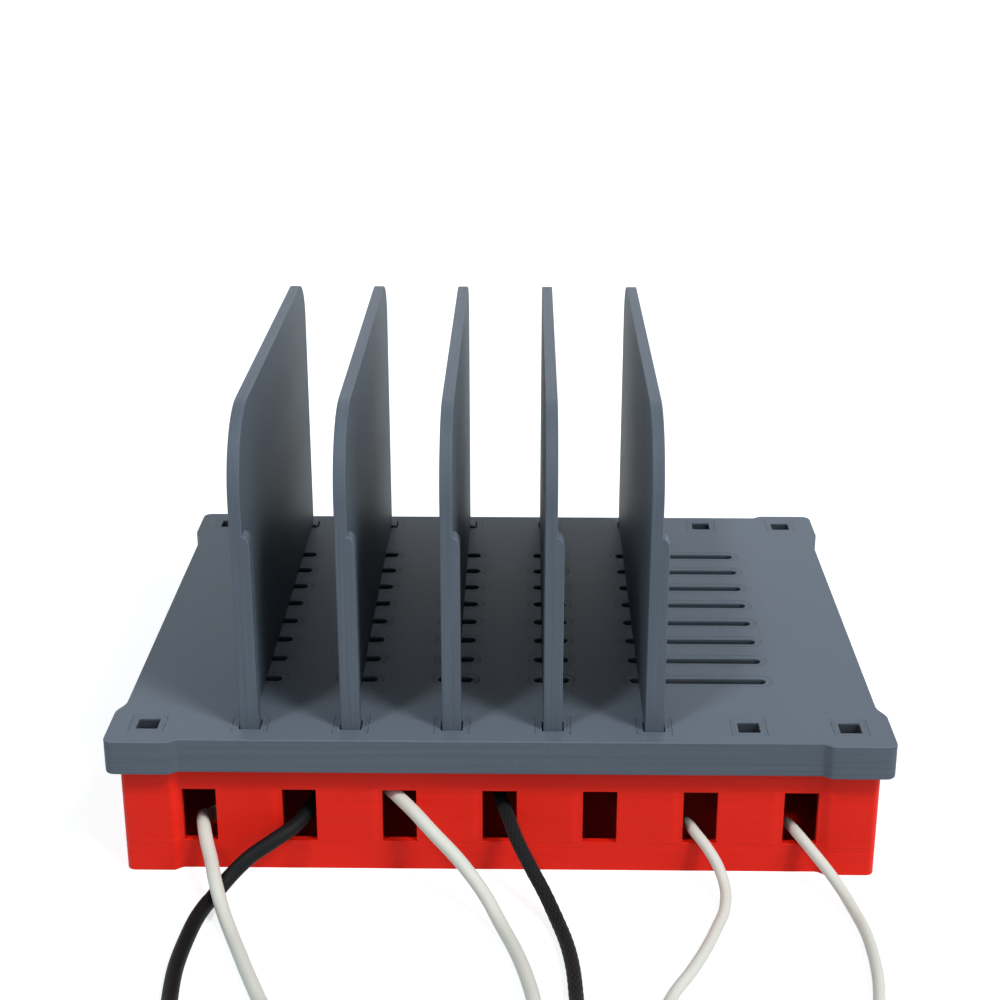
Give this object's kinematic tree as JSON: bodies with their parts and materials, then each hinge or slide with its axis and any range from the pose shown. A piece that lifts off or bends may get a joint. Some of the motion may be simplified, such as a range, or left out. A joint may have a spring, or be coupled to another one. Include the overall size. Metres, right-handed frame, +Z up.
{
  "type": "charging station organizer",
  "caption": "Desk organizer that hides a multi-port charger in a windowed tray under a vented lid with upright lift-out dividers for devices.",
  "frame": {"origin": "on the table under the middle of the lid", "axes": "+X to the right seen from the front, +Y to the back, +Z up; the cable windows face -Y"},
  "size_m": [0.194, 0.2562, 0.1175],
  "materials": {
    "red_print": "printed plastic with fine horizontal layer lines, satin",
    "slate_print": "printed plastic with layer lines and print paths, satin",
    "charger_case": "fine moulded texture",
    "circuit_board": "solder mask",
    "steel_screw": "plated",
    "port_metal": "drawn sheet",
    "port_plastic": "moulded",
    "transformer": "tape over a wound core",
    "capacitor": "sleeved can",
    "rubber_foot": "matt",
    "white_plug": "satin moulded",
    "black_plug": "satin moulded",
    "plug_metal": "plated",
    "white_cord": "soft satin jacket",
    "black_cord": "soft satin jacket",
    "black_braid": "braided sleeve"
  },
  "bodies": {
    "base": {"base_tray": "red_print", "charger_bottom_shell": "charger_case", "charger_top_shell": "charger_case", "charger_front_panel": "charger_case", "charger_board": "circuit_board", "charger_screws": "steel_screw", "usb_port_shells": "port_metal", "usb_port_shell_spare": "port_metal", "usb_port_tongues": "port_plastic", "mains_inlet": "charger_case", "inlet_pins": "steel_screw", "charger_transformer": "transformer", "charger_capacitors": "capacitor", "charger_feet": "rubber_foot", "usb_plug_1": "white_plug", "usb_plug_2": "black_plug", "usb_plug_3": "white_plug", "usb_plug_4": "black_plug", "usb_plug_5": "white_plug", "usb_plug_6": "white_plug", "plug_shell_1": "plug_metal", "plug_shell_2": "plug_metal", "plug_shell_3": "plug_metal", "plug_shell_4": "plug_metal", "plug_shell_5": "plug_metal", "plug_shell_6": "plug_metal", "plug_tongues": "port_plastic", "cord_1": "white_cord", "cord_2": "black_cord", "cord_3": "white_cord", "cord_4": "black_braid", "cord_5": "white_cord", "cord_6": "white_cord", "connector_1": "white_plug", "connector_2": "black_plug", "connector_3": "white_plug", "connector_4": "black_plug", "connector_5": "white_plug", "connector_6": "white_plug", "connector_tip_1": "plug_metal", "connector_tip_2": "plug_metal", "connector_tip_3": "plug_metal", "connector_tip_4": "plug_metal", "connector_tip_5": "plug_metal", "connector_tip_6": "plug_metal"},
    "lid": {"lid_deck": "slate_print"},
    "divider_1": {"divider_1": "slate_print"},
    "divider_2": {"divider_2": "slate_print"},
    "divider_3": {"divider_3": "slate_print"},
    "divider_4": {"divider_4": "slate_print"},
    "divider_5": {"divider_5": "slate_print"}
  },
  "joints": [
    {"name": "lid_lift", "type": "slide", "parent": "base", "child": "lid", "axis": [0, 0, 1], "range_m": [0, 0.04]},
    {"name": "divider_1_lift", "type": "slide", "parent": "lid", "child": "divider_1", "axis": [0, 0, 1], "range_m": [0, 0.04]},
    {"name": "divider_2_lift", "type": "slide", "parent": "lid", "child": "divider_2", "axis": [0, 0, 1], "range_m": [0, 0.04]},
    {"name": "divider_3_lift", "type": "slide", "parent": "lid", "child": "divider_3", "axis": [0, 0, 1], "range_m": [0, 0.04]},
    {"name": "divider_4_lift", "type": "slide", "parent": "lid", "child": "divider_4", "axis": [0, 0, 1], "range_m": [0, 0.04]},
    {"name": "divider_5_lift", "type": "slide", "parent": "lid", "child": "divider_5", "axis": [0, 0, 1], "range_m": [0, 0.04]}
  ]
}
